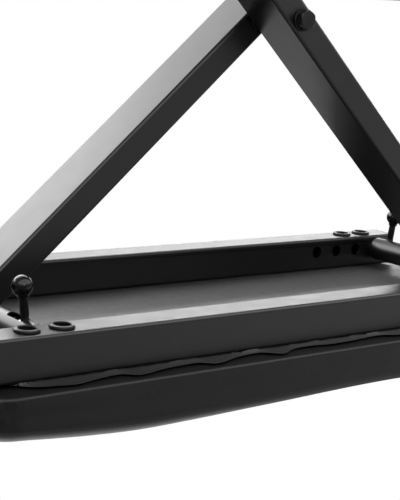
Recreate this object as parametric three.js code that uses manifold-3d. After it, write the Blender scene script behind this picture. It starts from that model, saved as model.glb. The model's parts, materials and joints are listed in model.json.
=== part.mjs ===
// A folding keyboard bench: a padded seat on two steel rails, carried by one crossed pair of rectangular legs.
// Each leg hangs on a round cross tube between the rails, locked there by two spring bolts that ball levers draw back.
// Leg a is the back one and hangs from the +X end of the seat, leg b is the front one and hangs from the -X end.
// Millimetres, +Z up, origin on the floor under the middle of the seat, seat length along X, front at -Y.
import * as THREE from "three";
import { mergeVertices } from "three/addons/utils/BufferGeometryUtils.js";
import Module from "manifold-3d";

// Clearances between pieces, and how far a cutter stands past what it cuts
const touch = 0.3;
const slide = 0.4;
const overrun = 4;

// Rails and the rows of bolt holes in them
const frameLength = 656;
const frameWidth = 264;
const railWidth = 32;
const railHeight = 34.5;
const railWall = 1.5;
const railCorner = 3;
const railCapFlange = 2.5;
const railCapPlug = 14;
const firstHoleFromEnd = 32;
const holePitch = 30;
const holesPerEnd = 4;
const holeOfLegA = 1;
const holeOfLegB = 0;
const crossAxisHeight = 14.5;

// Screws that hold the rails to the seat, and the grommets in their access holes
const firstScrewFromEnd = 40;
const screwPitch = 30;
const screwsPerEnd = 2;
const screwHeadRadius = 6;
const screwHeadHeight = 3.4;
const screwHeadTopShare = 0.7;
const screwShankRadius = 2.4;
const screwGrip = 9;
const grommetRadius = 10.2;
const grommetBoreRadius = 6.8;
const grommetSleeveWall = 1.3;
const grommetFlange = 2.4;
const grommetRound = 0.8;
const grommetSleeveDepth = 5;

// Seat
const seatOverhangSide = 22;
const seatOverhangEnd = 20;
const seatCorner = 40;
const seatSideHeight = 53;
const seatCrown = 6;
const seatEndFall = 16.5;
const seatMiddleFall = 5;
const seatSideDrawIn = 2.5;
const seatLowerEdge = 4;
const coverThickness = 1.2;
const coverLip = 26;
const boardThickness = 12;
const sheetThickness = 0.8;
const sheetOverhang = 9;
const sheetEndInset = 10;
const sheetCorner = 30;
const sheetWave = 3.5;
const sheetWaveLength = 70;

// Legs
const upperArm = 378;
const lowerArm = 265;
const legDepth = 52.5;
const legThickness = 26;
const legWall = 1.5;
const legCorner = 3;
const legSpacing = 2.2;
const legEndTrim = 5;

// Pivot of the crossed legs
const pivotBoltRadius = 5;
const pivotAcrossFlats = 16;
const pivotHeadHeight = 6.4;
const pivotNutHeight = 6.5;
const pivotCollarRadius = 7;
const pivotCollarHeight = 3;
const pivotThreadEnd = 1;
const pivotWasherRadius = 10;
const pivotWasherThickness = 2;
const pivotSpacerRadius = 13.5;

// Cross tubes, and the bolts, levers and springs in them
const crossRadius = 12.5;
const crossWall = 1.5;
const crossEndGap = 5;
const leverFromRail = 22;
const leverLean = 8;
const leverRadius = 3.6;
const leverReach = 39.5;
const leverRootDepth = 3;
const leverInKnob = 6;
const slotPlay = 0.5;
const boltTravel = 20;
const boltNose = 16;
const boltTail = 8;
const boltChamfer = 1.5;
const boltTipRadius = 6;
const tipReachLegA = 12;
const tipReachLegB = -1;
const knobRadius = 8.5;
const knobNeckRadius = 4.6;
const springWireRadius = 0.8;
const springGap = 1.2;
const springCurls = 5;
const springStopLength = 6;

// Foot bars and their caps
const footRadius = 12.5;
const footWall = 1.5;
const footLength = 300;
const footCapWall = 3;
const footCapDepth = 32;
const footCapRound = 1.5;
const footCapSole = 1.2;

// Facets
const roundSides = 24;
const middleSides = 16;
const smallSides = 12;
const cornerSteps = 2;
const wireSides = 4;
const stepsPerCurl = 8;

// Places worked out from the sizes
const crossXA = frameLength / 2 - firstHoleFromEnd - holeOfLegA * holePitch;
const crossXB = firstHoleFromEnd + holeOfLegB * holePitch - frameLength / 2;
const pivotX = (crossXA + crossXB) / 2;
const legAngle = Math.acos((crossXA - crossXB) / 2 / upperArm);
const footCapRadius = footRadius + touch + footCapWall;
const footAxisZ = footCapRadius - footCapSole;
const pivotZ = footAxisZ + lowerArm * Math.sin(legAngle);
const crossAxisZ = pivotZ + upperArm * Math.sin(legAngle);
const railBottom = crossAxisZ - crossAxisHeight;
const railTop = railBottom + railHeight;
const railInnerY = frameWidth / 2 - railWidth;
const railLength = frameLength - 2 * (railCapFlange + touch);
const sheetBottom = railTop + touch;
const seatBase = sheetBottom + sheetThickness + touch;
const boardBottom = seatBase + coverThickness + touch;
const seatHalfLength = frameLength / 2 + seatOverhangEnd;
const seatHalfWidth = frameWidth / 2 + seatOverhangSide;
const crossHalf = railInnerY - crossEndGap;
const crossBore = crossRadius - crossWall;
const leverY = railInnerY - leverFromRail;
const boltRadius = crossBore - slide;
const legY = (legSpacing + legDepth) / 2;

// The two legs: which side of the middle each runs, where it hangs, which way its levers lean and its bolts' reach
const legs = [
  { name: "a", side: 1, crossX: crossXA, tipReach: tipReachLegA },
  { name: "b", side: -1, crossX: crossXB, tipReach: tipReachLegB },
];
const hands = [
  { name: "front", side: -1 },
  { name: "back", side: 1 },
];

// Materials
const satinSteel = () => new THREE.MeshStandardMaterial({ color: 0x17171a, roughness: 0.38, metalness: 0.4 });
const blackOxide = () => new THREE.MeshStandardMaterial({ color: 0x1d1d1f, roughness: 0.42, metalness: 0.8 });
const zincSteel = () => new THREE.MeshStandardMaterial({ color: 0x9a9b9c, roughness: 0.35, metalness: 1 });
const blackPlastic = () => new THREE.MeshStandardMaterial({ color: 0x141415, roughness: 0.5, metalness: 0 });
const glossPlastic = () => new THREE.MeshStandardMaterial({ color: 0x0c0c0d, roughness: 0.12, metalness: 0 });
const blackRubber = () => new THREE.MeshStandardMaterial({ color: 0x161616, roughness: 0.8, metalness: 0 });
const blackVinyl = () => new THREE.MeshStandardMaterial({ color: 0x1b1b1c, roughness: 0.5, metalness: 0 });
const greyCloth = () => new THREE.MeshStandardMaterial({ color: 0x2b2b2c, roughness: 0.75, metalness: 0 });
const plywood = () => new THREE.MeshStandardMaterial({ color: 0xb08a5a, roughness: 0.7, metalness: 0 });
const seatFoam = () => new THREE.MeshStandardMaterial({ color: 0xb9b39c, roughness: 0.95, metalness: 0 });

const wasm = await Module();
wasm.setup();

// A closed geometry as a solid that can be joined and cut.
function toSolid(geometry) {
  const bare = geometry.clone();
  bare.deleteAttribute("normal");
  bare.deleteAttribute("uv");
  const merged = mergeVertices(bare);
  return new wasm.Manifold(
    new wasm.Mesh({
      numProp: 3,
      vertProperties: merged.attributes.position.array,
      triVerts: new Uint32Array(merged.index.array),
    }),
  );
}

function toGeometry(solid) {
  const { vertProperties, triVerts } = solid.getMesh();
  const geometry = new THREE.BufferGeometry();
  geometry.setAttribute("position", new THREE.BufferAttribute(vertProperties, 3));
  geometry.setIndex(new THREE.BufferAttribute(triVerts, 1));
  geometry.computeVertexNormals();
  return geometry;
}

function cut(geometry, cutters) {
  return toGeometry(cutters.reduce((left, cutter) => left.subtract(toSolid(cutter)), toSolid(geometry)));
}

function join(geometries) {
  return toGeometry(geometries.map(toSolid).reduce((all, next) => all.add(next)));
}

function part(name, geometry, material) {
  const mesh = new THREE.Mesh(geometry, material);
  mesh.name = name;
  return mesh;
}

function at(object, x, y, z) {
  object.position.set(x, y, z);
  return object;
}

// Traces a rectangle with round corners, centred on the origin, into a shape or a hole.
function traceRect(path, width, height, radius) {
  const x = width / 2 - radius;
  const y = height / 2 - radius;
  path.absarc(x, y, radius, 0, Math.PI / 2);
  path.absarc(-x, y, radius, Math.PI / 2, Math.PI);
  path.absarc(-x, -y, radius, Math.PI, 1.5 * Math.PI);
  path.absarc(x, -y, radius, 1.5 * Math.PI, 2 * Math.PI);
  path.closePath();
  return path;
}

function rectShape(width, height, radius) {
  return traceRect(new THREE.Shape(), width, height, radius);
}

function rectTubeShape(width, height, radius, wall) {
  const shape = rectShape(width, height, radius);
  shape.holes.push(traceRect(new THREE.Path(), width - 2 * wall, height - 2 * wall, radius - wall));
  return shape;
}

function ringShape(radius, bore) {
  const shape = new THREE.Shape().absarc(0, 0, radius, 0, 2 * Math.PI);
  shape.holes.push(new THREE.Path().absarc(0, 0, bore, 0, 2 * Math.PI));
  return shape;
}

function extrude(shape, depth, curveSegments = cornerSteps) {
  return new THREE.ExtrudeGeometry(shape, { depth, bevelEnabled: false, curveSegments }).translate(0, 0, -depth / 2);
}

// Extrusions centred on the origin. Along X the section's own axes are Y and Z, along Y they are X and Z.
const alongX = new THREE.Matrix4().makeBasis(
  new THREE.Vector3(0, 1, 0),
  new THREE.Vector3(0, 0, 1),
  new THREE.Vector3(1, 0, 0),
);
const extrudeX = (shape, length) => extrude(shape, length).applyMatrix4(alongX);
const pipeY = (radius, wall, length) =>
  extrude(ringShape(radius, radius - wall), length, roundSides / 2).rotateX(Math.PI / 2);
const ringY = (radius, bore, length) =>
  extrude(ringShape(radius, bore), length, middleSides / 2).rotateX(Math.PI / 2);
const rodY = (radius, length, sides = roundSides) => new THREE.CylinderGeometry(radius, radius, length, sides);
const rodZ = (radius, length, sides = smallSides) => rodY(radius, length, sides).rotateX(Math.PI / 2);

// A turned piece from pairs of radius and height, its axis along +Z, and one whose axis points to a side along Y.
function turned(profile, sides) {
  const points = profile.map(([radius, height]) => new THREE.Vector2(radius, height));
  return new THREE.LatheGeometry(points, sides).rotateX(Math.PI / 2);
}

const turnedY = (profile, sides, side) => turned(profile, sides).rotateX((-side * Math.PI) / 2);

// Rails

// Where holes lie along a rail, counted from its middle, the same at both ends.
function alongRail(first, pitch, count) {
  const places = [];
  for (let i = 0; i < count; i += 1) {
    const x = frameLength / 2 - first - i * pitch;
    places.push(x, -x);
  }
  return places;
}

const boltHoleXs = alongRail(firstHoleFromEnd, holePitch, holesPerEnd);
const screwXs = alongRail(firstScrewFromEnd, screwPitch, screwsPerEnd);
const railY = (frameWidth - railWidth) / 2;

// A rail round its own middle, on the front or back side, with its bolt holes in the wall that faces the legs.
function railGeometry(side) {
  const tube = extrudeX(rectTubeShape(railWidth, railHeight, railCorner, railWall), railLength);
  const cutters = [];
  for (const x of boltHoleXs) {
    const hole = rodY(boltTipRadius + slide, railWall + overrun, smallSides);
    cutters.push(hole.translate(x, (-side * (railWidth - railWall)) / 2, crossAxisHeight - railHeight / 2));
  }
  for (const x of screwXs) {
    const access = rodZ(grommetBoreRadius + grommetSleeveWall + touch, railWall + overrun, middleSides);
    const shank = rodZ(screwShankRadius + touch, railWall + overrun);
    cutters.push(access.translate(x, 0, (railWall - railHeight) / 2));
    cutters.push(shank.translate(x, 0, (railHeight - railWall) / 2));
  }
  return cut(tube, cutters);
}

// The cap of a rail's end: a flange over the tube's end and a hollow plug in its bore. It points along +X.
function railCapGeometry() {
  const fit = railWall + touch;
  const plugCorner = railCorner - touch;
  const flange = extrudeX(rectShape(railWidth, railHeight, railCorner), railCapFlange);
  const plug = extrudeX(rectTubeShape(railWidth - 2 * fit, railHeight - 2 * fit, plugCorner, railWall), railCapPlug);
  return join([
    flange.translate(railCapFlange / 2, 0, 0),
    plug.translate((railCapFlange - railCapPlug) / 2, 0, 0),
  ]);
}

// A grommet, hung from the underside of a rail at the origin, its sleeve up through the access hole.
function grommetGeometry() {
  const sleeveRadius = grommetBoreRadius + grommetSleeveWall;
  return turned([
    [grommetBoreRadius, grommetSleeveDepth],
    [grommetBoreRadius, grommetRound - grommetFlange],
    [grommetBoreRadius + grommetRound, -grommetFlange],
    [grommetRadius - grommetRound, -grommetFlange],
    [grommetRadius, grommetRound - grommetFlange],
    [grommetRadius, 0],
    [sleeveRadius, 0],
    [sleeveRadius, grommetSleeveDepth],
    [grommetBoreRadius, grommetSleeveDepth],
  ], middleSides);
}

// A pan head screw that points up, the seat of its head at the origin.
const screwLength = touch + railWall + boardBottom - railTop + screwGrip;

function screwGeometry() {
  return turned([
    [0, -screwHeadHeight],
    [screwHeadRadius * screwHeadTopShare, -screwHeadHeight],
    [screwHeadRadius, -screwHeadHeight / 2],
    [screwHeadRadius, 0],
    [screwShankRadius, 0],
    [screwShankRadius, screwLength - screwShankRadius],
    [0, screwLength],
  ], smallSides);
}

function rails() {
  const group = new THREE.Group();
  for (const { name, side } of hands) {
    const rail = part(`rail_${name}`, railGeometry(side), satinSteel());
    group.add(at(rail, 0, side * railY, railBottom + railHeight / 2));
    for (const [end, turn] of [["left", Math.PI], ["right", 0]]) {
      const cap = part(`rail_cap_${name}_${end}`, railCapGeometry(), blackPlastic());
      cap.rotation.z = turn;
      const x = Math.cos(turn) * (railLength / 2 + touch);
      group.add(at(cap, x, side * railY, railBottom + railHeight / 2));
    }
    screwXs.forEach((x, i) => {
      const grommet = part(`grommet_${name}_${i + 1}`, grommetGeometry(), blackPlastic());
      const screw = part(`seat_screw_${name}_${i + 1}`, screwGeometry(), zincSteel());
      group.add(at(grommet, x, side * railY, railBottom - touch));
      group.add(at(screw, x, side * railY, railTop - railWall - touch));
    });
  }
  return group;
}

// Seat

// The seat's outline set in by a distance: a rectangle with round corners and sides drawn in a little at the middle.
// Every outline has as many points, so that they join ring by ring.
const arcSteps = 4;
const longSteps = 8;
const shortSteps = 4;
const sharpestCornerShare = 0.25;

function seatOutline(inset) {
  const radius = Math.max(seatCorner - inset, seatCorner * sharpestCornerShare);
  const x = seatHalfLength - inset - radius;
  const y = seatHalfWidth - inset - radius;
  const centres = [[x, y], [-x, y], [-x, -y], [x, -y]];
  const points = [];
  centres.forEach(([cx, cy], quarter) => {
    for (let k = 0; k <= arcSteps; k += 1) {
      const angle = ((quarter + k / arcSteps) * Math.PI) / 2;
      points.push([cx + radius * Math.cos(angle), cy + radius * Math.sin(angle)]);
    }
    const [fromX, fromY] = points[points.length - 1];
    const [nextX, nextY] = centres[(quarter + 1) % centres.length];
    const steps = quarter % 2 === 0 ? longSteps : shortSteps;
    for (let k = 1; k < steps; k += 1) {
      const share = k / steps;
      const turn = quarter % 2 === 0 ? nextX - cx : nextY - cy;
      points.push(quarter % 2 === 0 ? [fromX + turn * share, fromY] : [fromX, fromY + turn * share]);
    }
  });
  return points.map(([px, py]) => {
    const along = px / seatHalfLength;
    return [px, py - (seatSideDrawIn * (1 - along * along) * py) / seatHalfWidth];
  });
}

// The height of the cushion at a place, less what it sinks towards its ends and at its middle.
function fallen(x, height) {
  const along = Math.abs(x) / seatHalfLength;
  const nearMiddle = Math.max(1 - (along / middleFallReachShare) ** 2, 0);
  const fall = seatEndFall * along ** endFallPower + seatMiddleFall * nearMiddle ** 2;
  return height * (1 - fall / seatSideHeight);
}

// The cushion's side as shares of its height up and of its corner radius in, then its crown as shares of its width
const sideShares = [[0.075, 0.015], [0.4, 0], [0.66, 0.015], [0.8, 0.045], [0.92, 0.16], [0.98, 0.31], [1, 0.45]];
const crownShares = [0.88, 0.7, 0.42];
const crownPower = 2.4;
const endFallPower = 5;
const middleFallReachShare = 0.5;

// Joins rings of points, with a middle point under the first and over the last, into a closed geometry.
function loft(rings, bottom, top) {
  const count = rings[0].length;
  const last = rings.length - 1;
  const bottomPoint = rings.length * count;
  const index = [];
  for (let i = 0; i < count; i += 1) {
    const j = (i + 1) % count;
    for (let r = 0; r < last; r += 1) {
      const low = r * count;
      const high = low + count;
      index.push(low + i, low + j, high + j, low + i, high + j, high + i);
    }
    index.push(bottomPoint, j, i, bottomPoint + 1, last * count + i, last * count + j);
  }
  const geometry = new THREE.BufferGeometry();
  geometry.setAttribute("position", new THREE.Float32BufferAttribute([...rings, [bottom, top]].flat(2), 3));
  geometry.setIndex(index);
  return geometry;
}

// The cushion's skin, set in by a thickness, from its flat underside over its crown.
function skinGeometry(setIn) {
  const rings = [seatOutline(seatLowerEdge + setIn).map(([x, y]) => [x, y, setIn])];
  for (const [up, inward] of sideShares) {
    const lowest = setIn * (1 + up);
    const outline = seatOutline(inward * seatCorner + setIn);
    rings.push(outline.map(([x, y]) => [x, y, Math.max(fallen(x, up * seatSideHeight) - setIn, lowest)]));
  }
  const rim = rings[rings.length - 1];
  const rimHeight = sideShares[sideShares.length - 1][0] * seatSideHeight;
  for (const share of crownShares) {
    const height = rimHeight + seatCrown * (1 - share ** crownPower);
    rings.push(rim.map(([x, y]) => [x * share, y * share, fallen(x * share, height) - setIn]));
  }
  return loft(rings, [0, 0, setIn], [0, 0, fallen(0, rimHeight + seatCrown) - setIn]);
}

const seatLiningDepth = coverThickness + touch;
const coverHalfOpening = [seatHalfLength - coverLip, seatHalfWidth - coverLip];

function coverGeometry() {
  const [halfLength, halfWidth] = coverHalfOpening;
  const opening = extrude(rectShape(2 * halfLength, 2 * halfWidth, coverLip), 2 * seatLiningDepth);
  return cut(skinGeometry(0), [skinGeometry(coverThickness), opening]);
}

function foamGeometry() {
  const boardTop = boardBottom + boardThickness + touch - seatBase;
  const below = new THREE.BoxGeometry(2 * seatHalfLength, 2 * seatHalfWidth, boardTop + overrun);
  return cut(skinGeometry(seatLiningDepth), [below.translate(0, 0, (boardTop - overrun) / 2)]);
}

function boardGeometry() {
  const outline = seatOutline(seatLowerEdge + coverThickness + 2 * touch);
  const board = extrude(new THREE.Shape(outline.map(([x, y]) => new THREE.Vector2(x, y))), boardThickness);
  const pilots = [];
  for (const { side } of hands) {
    for (const x of screwXs) {
      const pilot = rodZ(screwShankRadius + touch, 2 * (screwGrip + touch));
      pilots.push(pilot.translate(x, side * railY, -boardThickness / 2));
    }
  }
  return cut(board, pilots);
}

// The underside sheet, its long edges in slack waves past the rails.
const sheetHalfLength = frameLength / 2 - sheetEndInset;
const sheetHalfWidth = frameWidth / 2 + sheetOverhang;
const stepsPerWave = 4;

function sheetGeometry() {
  const straight = sheetHalfLength - sheetCorner;
  const steps = Math.round(((2 * straight) / sheetWaveLength) * stepsPerWave);
  const front = [];
  for (let i = 0; i <= steps; i += 1) {
    const x = -straight + (2 * straight * i) / steps;
    const taper = Math.sin((Math.PI * i) / steps) ** 0.5;
    const wave = sheetWave * taper * Math.cos((2 * Math.PI * x) / sheetWaveLength);
    front.push(new THREE.Vector2(x, -sheetHalfWidth - wave));
  }
  const corner = [];
  for (let i = 1; i < stepsPerWave; i += 1) {
    const angle = -Math.PI / 2 + (Math.PI / 2) * (i / stepsPerWave);
    const x = straight + sheetCorner * Math.cos(angle);
    corner.push(new THREE.Vector2(x, -sheetHalfWidth + sheetCorner * (1 + Math.sin(angle))));
  }
  const half = [...front, ...corner];
  const outline = [...half, ...half.map(({ x, y }) => new THREE.Vector2(-x, -y))];
  const holes = hands.flatMap(({ side }) =>
    screwXs.map((x) => rodZ(screwShankRadius + touch, overrun).translate(x, side * railY, 0)),
  );
  return cut(extrude(new THREE.Shape(outline), sheetThickness), holes);
}

function seat() {
  const group = new THREE.Group();
  group.add(at(part("underside_sheet", sheetGeometry(), greyCloth()), 0, 0, sheetBottom + sheetThickness / 2));
  group.add(at(part("seat_board", boardGeometry(), plywood()), 0, 0, boardBottom + boardThickness / 2));
  group.add(at(part("seat_foam", foamGeometry(), seatFoam()), 0, 0, seatBase));
  group.add(at(part("seat_cover", coverGeometry(), blackVinyl()), 0, 0, seatBase));
  return group;
}

// Legs

// A leg tube round the pivot, its upper end along +X, both ends coped to the round tubes that they are welded to.
function legTubeGeometry() {
  const length = upperArm + lowerArm - 2 * legEndTrim;
  const tube = extrudeX(rectTubeShape(legDepth, legThickness, legCorner, legWall), length);
  const across = legDepth + overrun;
  return cut(tube.translate((upperArm - lowerArm) / 2, 0, 0), [
    rodY(crossRadius + touch, across).translate(upperArm, 0, 0),
    rodY(footRadius + touch, across).translate(-lowerArm, 0, 0),
    rodY(pivotBoltRadius + touch, across, middleSides),
  ]);
}

// The slot that a lever slides in, cut downwards into a cross tube.
function slotGeometry(side) {
  const width = 2 * (leverRadius + slotPlay);
  const length = boltTravel + width;
  const slot = extrude(rectShape(width, length, width / 2), crossRadius);
  return slot.translate(0, side * (leverY - boltTravel / 2), -crossRadius);
}

// A lock bolt from the axis of its lever: a body that fills the tube and a tip that enters the rail.
function lockBoltGeometry(side, tipReach) {
  const tipEnd = leverFromRail + tipReach;
  const bolt = turnedY([
    [0, -boltTail],
    [boltRadius - boltChamfer, -boltTail],
    [boltRadius, boltChamfer - boltTail],
    [boltRadius, boltNose - boltChamfer],
    [boltRadius - boltChamfer, boltNose],
    [boltTipRadius, boltNose],
    [boltTipRadius, tipEnd - boltChamfer],
    [boltTipRadius - boltChamfer, tipEnd],
    [0, tipEnd],
  ], middleSides, side);
  const socket = rodZ(leverRadius + touch, crossRadius + leverRootDepth);
  return cut(bolt, [socket.translate(0, 0, (leverRootDepth - crossRadius) / 2)]);
}

const leverTop = leverRootDepth - touch;

function leverGeometry() {
  const length = leverTop + leverReach + leverInKnob / 2;
  return rodZ(leverRadius, length).translate(0, 0, leverTop - length / 2);
}

// A ball with a short neck towards the tube and a blind socket for its lever.
function knobGeometry() {
  const ballSteps = 7;
  const neckShare = 0.82;
  const socketRadius = leverRadius + touch;
  const profile = [];
  for (let i = 0; i <= ballSteps; i += 1) {
    const angle = ((neckShare * i) / ballSteps) * Math.PI;
    profile.push([knobRadius * Math.sin(angle), -knobRadius * Math.cos(angle)]);
  }
  profile.push([knobNeckRadius, knobRadius]);
  profile.push([socketRadius, knobRadius]);
  profile.push([socketRadius, -leverInKnob / 2 - touch]);
  profile.push([0, -leverInKnob / 2 - touch]);
  return turned(profile, smallSides);
}

// A coil spring along +Y from the origin, one unbroken wire.
class Helix extends THREE.Curve {
  constructor(radius, length, curls) {
    super();
    Object.assign(this, { radius, length, curls });
  }

  getPoint(t, target = new THREE.Vector3()) {
    const angle = 2 * Math.PI * this.curls * t;
    return target.set(this.radius * Math.cos(angle), this.length * t, this.radius * Math.sin(angle));
  }
}

const stopFace = springStopLength / 2 + springWireRadius + touch;
const springEnd = leverY - boltTail - springWireRadius - touch;
const springRadius = crossBore - springGap - springWireRadius;

function springGeometry() {
  const wire = new THREE.Shape().absarc(0, 0, springWireRadius, 0, 2 * Math.PI);
  return new THREE.ExtrudeGeometry(wire, {
    steps: springCurls * stepsPerCurl,
    extrudePath: new Helix(springRadius, springEnd - stopFace, springCurls),
    curveSegments: wireSides / 2,
  });
}

// A cross tube with all that slides in it, round the tube's own middle, turned so that its levers lean outwards.
function crossTube({ name, side: lean, crossX, tipReach }) {
  const group = new THREE.Group();
  const slots = hands.map(({ side }) => slotGeometry(side));
  const tube = cut(pipeY(crossRadius, crossWall, 2 * crossHalf), slots);
  group.add(part(`cross_tube_${name}`, tube, satinSteel()));
  group.add(part(`spring_stop_${name}`, rodY(crossBore - touch, springStopLength), zincSteel()));
  for (const { name: hand, side } of hands) {
    const label = `${name}_${hand}`;
    const spring = springGeometry().translate(0, stopFace, 0);
    const bolt = part(`lock_bolt_${label}`, lockBoltGeometry(side, tipReach), zincSteel());
    const stem = part(`lever_stem_${label}`, leverGeometry(), blackOxide());
    const knob = part(`lever_knob_${label}`, knobGeometry(), glossPlastic());
    group.add(part(`bolt_spring_${label}`, side > 0 ? spring : spring.rotateX(Math.PI), zincSteel()));
    group.add(at(bolt, 0, side * leverY, 0));
    group.add(at(stem, 0, side * leverY, 0));
    group.add(at(knob, 0, side * leverY, -leverReach));
  }
  group.rotation.y = THREE.MathUtils.degToRad(-lean * leverLean);
  return at(group, crossX, 0, crossAxisZ);
}

// A rubber cap that points to a side, its flat sole down.
function footCapGeometry(side) {
  const inner = footCapDepth - footCapWall;
  const cup = turnedY([
    [0, inner],
    [footRadius + touch, inner],
    [footRadius + touch, 0],
    [footCapRadius, 0],
    [footCapRadius, footCapDepth - footCapRound],
    [footCapRadius - footCapRound, footCapDepth],
    [0, footCapDepth],
  ], roundSides, side);
  const below = new THREE.BoxGeometry(2 * footCapRadius, 2 * (footCapDepth + overrun), overrun);
  return cut(cup, [below.translate(0, side * footCapDepth / 2, -footAxisZ - overrun / 2)]);
}

function footBar({ name, side, crossX }) {
  const group = new THREE.Group();
  group.add(part(`foot_bar_${name}`, pipeY(footRadius, footWall, footLength), satinSteel()));
  for (const { name: hand, side: end } of hands) {
    const cap = part(`foot_cap_${name}_${hand}`, footCapGeometry(end), blackRubber());
    group.add(at(cap, 0, end * (footLength / 2 + touch - (footCapDepth - footCapWall)), 0));
  }
  return at(group, pivotX - side * lowerArm * Math.cos(legAngle), 0, footAxisZ);
}

function leg(which) {
  const { name, side } = which;
  const tube = at(part(`leg_tube_${name}`, legTubeGeometry(), satinSteel()), pivotX, side * legY, pivotZ);
  tube.rotation.y = side > 0 ? -legAngle : legAngle - Math.PI;
  return new THREE.Group().add(tube, crossTube(which), footBar(which));
}

// Pivot

const legOuterY = legSpacing / 2 + legDepth;
const hexRadius = pivotAcrossFlats / Math.sqrt(3);
const hexY = (height) => new THREE.CylinderGeometry(hexRadius, hexRadius, height, 6);

// The pivot bolt, its head on the washer in front of leg b and its thread through the lock nut behind leg a.
const nutSeat = legOuterY + touch;
const headSeat = -legOuterY - pivotWasherThickness - 2 * touch;

function pivotBoltGeometry() {
  const threadEnd = nutSeat + pivotNutHeight + pivotCollarHeight + pivotThreadEnd;
  const shank = rodY(pivotBoltRadius, threadEnd - headSeat + touch, middleSides);
  return join([
    shank.translate(0, (threadEnd + headSeat - touch) / 2, 0),
    hexY(pivotHeadHeight).translate(0, headSeat - pivotHeadHeight / 2, 0),
  ]);
}

function lockNutGeometry() {
  const collarEnd = pivotNutHeight + pivotCollarHeight;
  const collar = rodY(pivotCollarRadius, collarEnd, middleSides).translate(0, collarEnd / 2, 0);
  const nut = join([hexY(pivotNutHeight).translate(0, pivotNutHeight / 2, 0), collar]);
  return cut(nut, [rodY(pivotBoltRadius + touch, 2 * collarEnd + overrun, middleSides)]);
}

function pivot() {
  const group = new THREE.Group();
  const bore = pivotBoltRadius + touch;
  const washer = ringY(pivotWasherRadius, bore, pivotWasherThickness);
  group.add(part("pivot_bolt", pivotBoltGeometry(), blackOxide()));
  group.add(at(part("pivot_lock_nut", lockNutGeometry(), blackOxide()), 0, nutSeat, 0));
  group.add(at(part("pivot_washer", washer, blackOxide()), 0, -legOuterY - touch - pivotWasherThickness / 2, 0));
  group.add(part("pivot_spacer", ringY(pivotSpacerRadius, bore, legSpacing - 2 * touch), blackPlastic()));
  return at(group, pivotX, 0, pivotZ);
}

const bench = new THREE.Group();
bench.name = "folding_keyboard_bench";
bench.add(rails(), seat(), ...legs.map(leg), pivot());

export default bench;
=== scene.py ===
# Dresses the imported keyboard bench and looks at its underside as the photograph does.
# Metres, +Z up, the bench open on its feet, floor at Z 0. The camera is rolled, because the photograph shows
# the bench lying on its seat.
import json
import math

import bmesh
import bpy
import numpy as np
from mathutils import Matrix, Vector
from mathutils.kdtree import KDTree


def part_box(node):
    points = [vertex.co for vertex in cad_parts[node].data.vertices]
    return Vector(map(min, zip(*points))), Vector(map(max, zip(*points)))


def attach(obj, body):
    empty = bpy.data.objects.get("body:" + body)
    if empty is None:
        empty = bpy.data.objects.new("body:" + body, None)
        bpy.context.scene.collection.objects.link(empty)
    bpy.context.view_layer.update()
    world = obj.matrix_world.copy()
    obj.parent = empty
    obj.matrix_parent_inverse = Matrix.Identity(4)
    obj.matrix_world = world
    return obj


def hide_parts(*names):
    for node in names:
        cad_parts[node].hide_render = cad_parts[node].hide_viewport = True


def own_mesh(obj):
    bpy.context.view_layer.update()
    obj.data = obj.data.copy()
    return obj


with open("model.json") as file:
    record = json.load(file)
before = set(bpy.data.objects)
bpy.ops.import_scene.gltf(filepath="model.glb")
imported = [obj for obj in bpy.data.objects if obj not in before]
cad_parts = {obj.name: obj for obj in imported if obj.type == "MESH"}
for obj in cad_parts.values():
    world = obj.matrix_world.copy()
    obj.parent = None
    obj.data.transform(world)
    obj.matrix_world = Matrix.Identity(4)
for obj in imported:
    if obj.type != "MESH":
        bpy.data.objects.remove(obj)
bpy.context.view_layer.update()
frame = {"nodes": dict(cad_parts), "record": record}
nodes = frame["nodes"]


# Sizes taken from the frame
def centre(node):
    low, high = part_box(node)
    return (Vector(low) + Vector(high)) / 2


cross_a = centre("cross_tube_a")
cross_b = centre("cross_tube_b")
foot_a = centre("foot_bar_a")
foot_b = centre("foot_bar_b")
pivot = centre("pivot_bolt")
rail_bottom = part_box("rail_front")[0][2]
LEVER_LEAN = math.radians(8)
RAIL_FACE = 0.132  # how far the rails' outer faces stand from the middle plane

# The dressed pad starts a little above the lowest point of the cover's solid, and is a little wider
PAD_LIFT, PAD_WIDER = 0.0012, 0.0005
seat_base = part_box("seat_cover")[0][2] + PAD_LIFT
seat_half_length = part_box("seat_cover")[1][0]
seat_half_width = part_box("seat_cover")[1][1] + PAD_WIDER

# Camera, fitted to the photograph's edges. The fit's own axes had the bench lying on its seat.
PHOTO_HEIGHT = 500
FOCAL_PIXELS = 1236.403
SENSOR_HEIGHT = 24
FIT_EYE = Vector((-0.471018, -0.749538, 0.237182))
FIT_ORIGIN = Vector((0.26705, -RAIL_FACE, rail_bottom))
FIT_ROLL, FIT_PITCH, FIT_YAW = (math.radians(a) for a in (-4.025, 10.786, 38.397))


def from_fit(v):
    """Turns a direction or a place of the fit's axes into the frame's."""
    return Vector((-v[0], v[1], -v[2]))


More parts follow.
